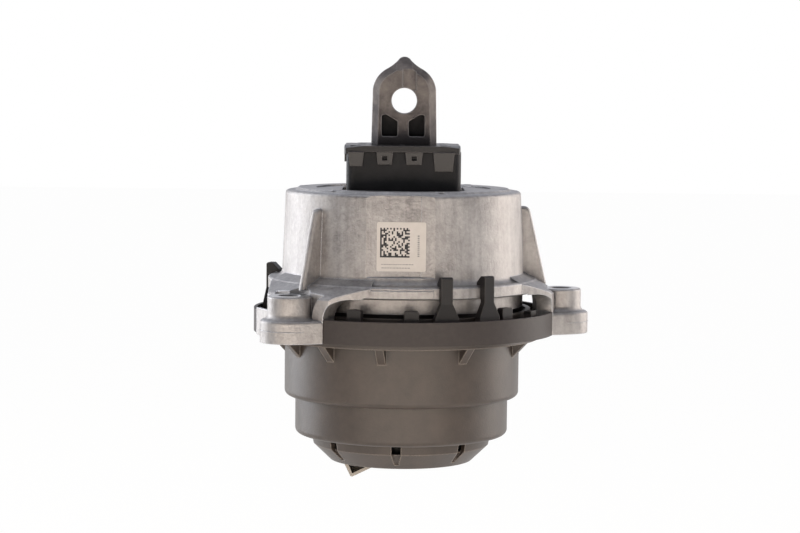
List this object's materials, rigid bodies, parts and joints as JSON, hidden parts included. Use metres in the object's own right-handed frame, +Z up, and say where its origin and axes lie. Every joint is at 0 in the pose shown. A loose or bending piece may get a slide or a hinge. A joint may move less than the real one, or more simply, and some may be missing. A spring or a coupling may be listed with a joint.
{
  "type": "hydraulic engine mount",
  "caption": "Round hydraulic engine mount: die-cast housing on bolt feet, pointed arm with a cross bore above, switching solenoid in a moulded pot below.",
  "frame": {"origin": "centre of the arm's bolt bore, on the axis of the mount", "axes": "+Z up along the axis of the round housing, +Y along the arm's bolt bore, away from the side with the code label"},
  "size_m": [0.1451, 0.1412, 0.1807],
  "materials": {
    "die_cast": "as cast, shot blasted",
    "arm_cast": "as cast, dull",
    "rubber": "moulded, satin",
    "cap_plastic": "moulded, satin",
    "ring_plastic": "glass-filled, fine grain",
    "pot_plastic": "glass-filled, fine grain",
    "socket_plastic": "moulded, natural",
    "plain_steel": "drawn and turned, bare",
    "copper": "enamelled wire",
    "tinned_brass": "tin plated",
    "label_film": "printed film"
  },
  "bodies": {
    "mount": {"housing": "die_cast", "core_arm": "arm_cast", "stop_block": "rubber", "stop_cap": "cap_plastic", "main_spring": "rubber", "spring_sleeve": "plain_steel", "nozzle_plate": "die_cast", "idle_membrane": "rubber", "nozzle_cover": "die_cast", "bellows": "rubber", "bellows_ring": "plain_steel", "clip_ring": "ring_plastic", "pot": "pot_plastic", "guide_tube": "plain_steel", "solenoid_yoke": "plain_steel", "flux_washer": "plain_steel", "coil_bobbin": "pot_plastic", "coil_winding": "copper", "pole_core": "plain_steel", "plunger_spring": "plain_steel", "solenoid_screws": "plain_steel", "connector_socket": "socket_plastic", "connector_pins": "tinned_brass", "code_label": "label_film"},
    "plunger": {"plunger": "plain_steel", "plunger_seal": "rubber"}
  },
  "joints": [
    {"name": "plunger_slide", "type": "slide", "parent": "mount", "child": "plunger", "axis": [0, 0, -1], "range_m": [0, 0.0015], "stiffness_N_per_m": 400, "springref_m": -0.004, "deforming": ["plunger_spring"]}
  ]
}
